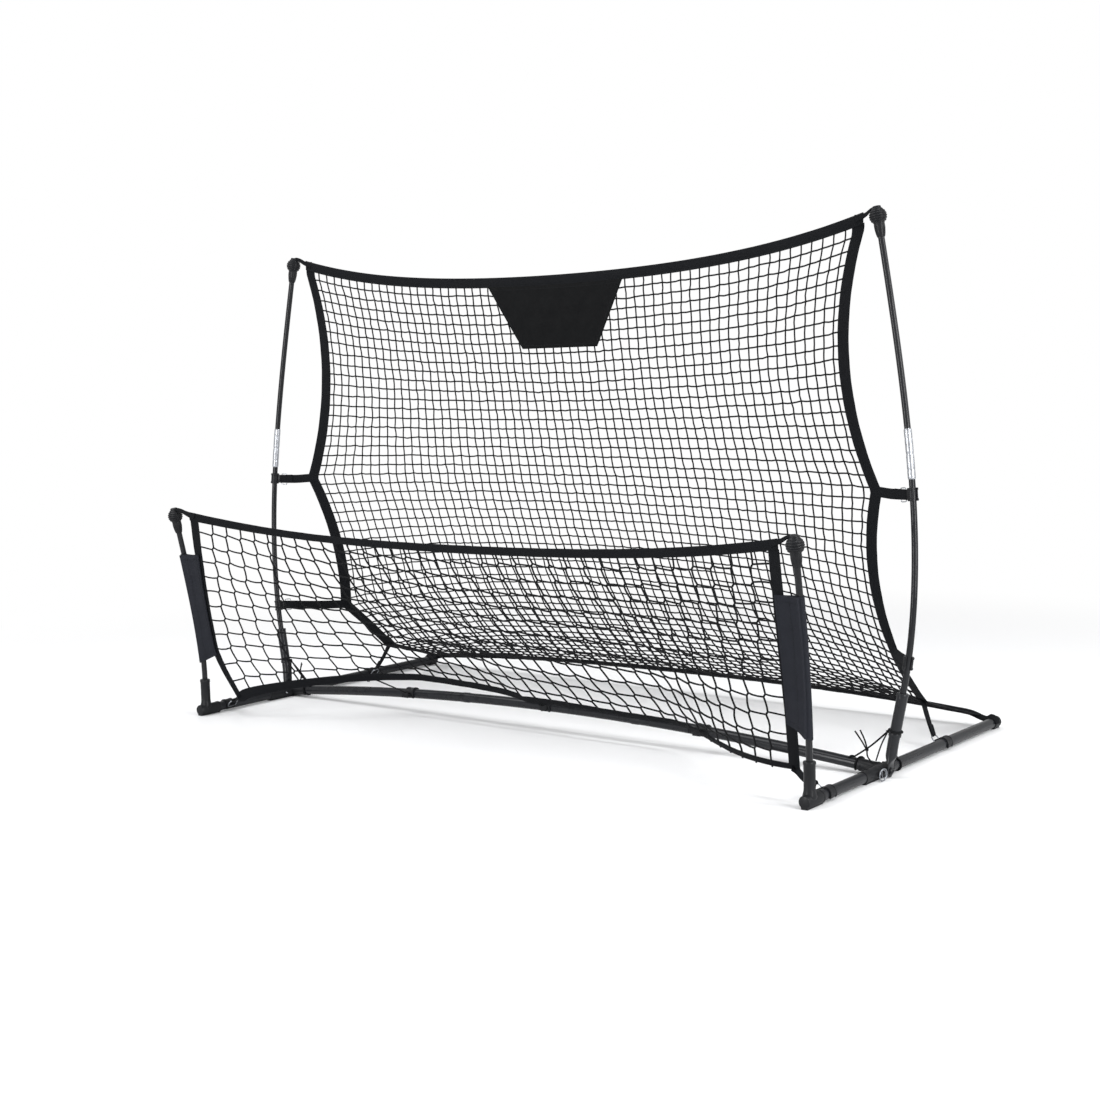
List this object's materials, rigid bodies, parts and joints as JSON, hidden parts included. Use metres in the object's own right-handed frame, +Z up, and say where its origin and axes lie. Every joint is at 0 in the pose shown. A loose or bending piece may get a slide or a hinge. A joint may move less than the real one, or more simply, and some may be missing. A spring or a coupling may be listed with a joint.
{
  "type": "pitch back rebounder",
  "caption": "Free-standing ball rebounder: a low front net and a tall curved rear net laced to a folding tube and rod frame with a target panel.",
  "frame": {"origin": "on the ground under the middle of the object's bounding box", "axes": "+X to the user's right along the crossbar, +Y from the low front net to the tall rear net, +Z up"},
  "size_m": [2.2528, 1.136, 1.3812],
  "materials": {
    "black_steel": "satin black powder coat",
    "black_plastic": "moulded black nylon, lightly textured",
    "glass_fibre": "smooth black glass-fibre rod",
    "ferrule_steel": "bright drawn steel sleeve",
    "zinc": "zinc-plated wire and pin",
    "webbing": "charcoal woven polyester",
    "netting": "black knotted polyethylene twine",
    "panel_cloth": "near-black coated polyester cloth",
    "cord": "black braided cord"
  },
  "bodies": {
    "base": {"side_tube_front_right": "black_steel", "side_tube_front_left": "black_steel", "side_tube_rear_right": "black_steel", "side_tube_rear_left": "black_steel", "rear_end_plug_right": "black_plastic", "rear_end_plug_left": "black_plastic", "front_tee_right": "black_plastic", "front_tee_left": "black_plastic", "front_pole_right": "glass_fibre", "front_pole_left": "glass_fibre", "front_ball_end_right": "black_plastic", "front_ball_end_left": "black_plastic", "junction_bracket_right": "black_plastic", "junction_bracket_left": "black_plastic", "pivot_bolt_right": "black_steel", "pivot_bolt_left": "black_steel", "crossbar_right": "black_steel", "crossbar_left": "black_steel", "crossbar_centre": "black_steel", "hem_clip_right": "black_plastic", "hem_clip_left": "black_plastic", "hem_clip_centre": "black_plastic", "rear_net": "netting", "rear_edge_tape": "webbing", "target_panel": "panel_cloth", "bottom_strap_right": "webbing", "bottom_strap_left": "webbing", "front_net": "netting", "front_border_tape": "webbing", "pole_sleeve_right": "webbing", "pole_sleeve_left": "webbing", "corner_strap_right": "webbing", "corner_strap_left": "webbing", "lashing_cord_right": "cord", "lashing_cord_left": "cord"},
    "rear_frame": {"upright_tube_right": "black_steel", "upright_tube_left": "black_steel", "lower_pole_right": "glass_fibre", "lower_pole_left": "glass_fibre", "ferrule_right": "ferrule_steel", "ferrule_left": "ferrule_steel", "upper_pole_right": "glass_fibre", "upper_pole_left": "glass_fibre", "pole_ball_end_right": "black_plastic", "pole_ball_end_left": "black_plastic", "rear_top_tape": "webbing", "upper_strap_right": "webbing", "upper_strap_left": "webbing", "lower_strap_right": "webbing", "lower_strap_left": "webbing"},
    "bar_pin_right": {"bar_lock_pin_right": "zinc"},
    "front_clamp_right": {"front_bar_clamp_right": "black_plastic"},
    "rear_clamp_right": {"rear_bar_clamp_right": "black_plastic"},
    "upper_clamp_right": {"upper_pole_clamp_right": "black_plastic"},
    "lower_clamp_right": {"lower_pole_clamp_right": "black_plastic"},
    "bar_pin_left": {"bar_lock_pin_left": "zinc"},
    "front_clamp_left": {"front_bar_clamp_left": "black_plastic"},
    "rear_clamp_left": {"rear_bar_clamp_left": "black_plastic"},
    "upper_clamp_left": {"upper_pole_clamp_left": "black_plastic"},
    "lower_clamp_left": {"lower_pole_clamp_left": "black_plastic"}
  },
  "joints": [
    {"name": "rear_frame_fold", "type": "hinge", "parent": "base", "child": "rear_frame", "pos_m": [0, -0.116, 0.017], "axis": [-1, 0, 0], "range_deg": [0, 45], "deforming": ["upper_strap_right", "upper_strap_left", "lower_strap_right", "lower_strap_left", "lashing_cord_right", "lashing_cord_left"]},
    {"name": "bar_pin_pull_right", "type": "slide", "parent": "base", "child": "bar_pin_right", "axis": [1, 0, 0], "range_m": [0, 0.03]},
    {"name": "bar_pin_pull_left", "type": "slide", "parent": "base", "child": "bar_pin_left", "axis": [-1, 0, 0], "range_m": [0, 0.03]},
    {"name": "front_clamp_slide_right", "type": "slide", "parent": "base", "child": "front_clamp_right", "axis": [0, 1, 0], "range_m": [-0.02, 0.03], "deforming": ["corner_strap_right"]},
    {"name": "rear_clamp_slide_right", "type": "slide", "parent": "base", "child": "rear_clamp_right", "axis": [0, 1, 0], "range_m": [-0.03, 0.03], "deforming": ["bottom_strap_right"]},
    {"name": "front_clamp_slide_left", "type": "slide", "parent": "base", "child": "front_clamp_left", "axis": [0, 1, 0], "range_m": [-0.02, 0.03], "deforming": ["corner_strap_left"]},
    {"name": "rear_clamp_slide_left", "type": "slide", "parent": "base", "child": "rear_clamp_left", "axis": [0, 1, 0], "range_m": [-0.03, 0.03], "deforming": ["bottom_strap_left"]},
    {"name": "upper_clamp_slide_right", "type": "slide", "parent": "rear_frame", "child": "upper_clamp_right", "axis": [-0.0776, 0.0361, 0.9963], "range_m": [-0.02, 0.02]},
    {"name": "lower_clamp_slide_right", "type": "slide", "parent": "rear_frame", "child": "lower_clamp_right", "axis": [0.1355, 0.0371, 0.9901], "range_m": [-0.02, 0.02]},
    {"name": "upper_clamp_slide_left", "type": "slide", "parent": "rear_frame", "child": "upper_clamp_left", "axis": [0.0776, 0.0361, 0.9963], "range_m": [-0.02, 0.02]},
    {"name": "lower_clamp_slide_left", "type": "slide", "parent": "rear_frame", "child": "lower_clamp_left", "axis": [-0.1355, 0.0371, 0.9901], "range_m": [-0.02, 0.02]}
  ]
}
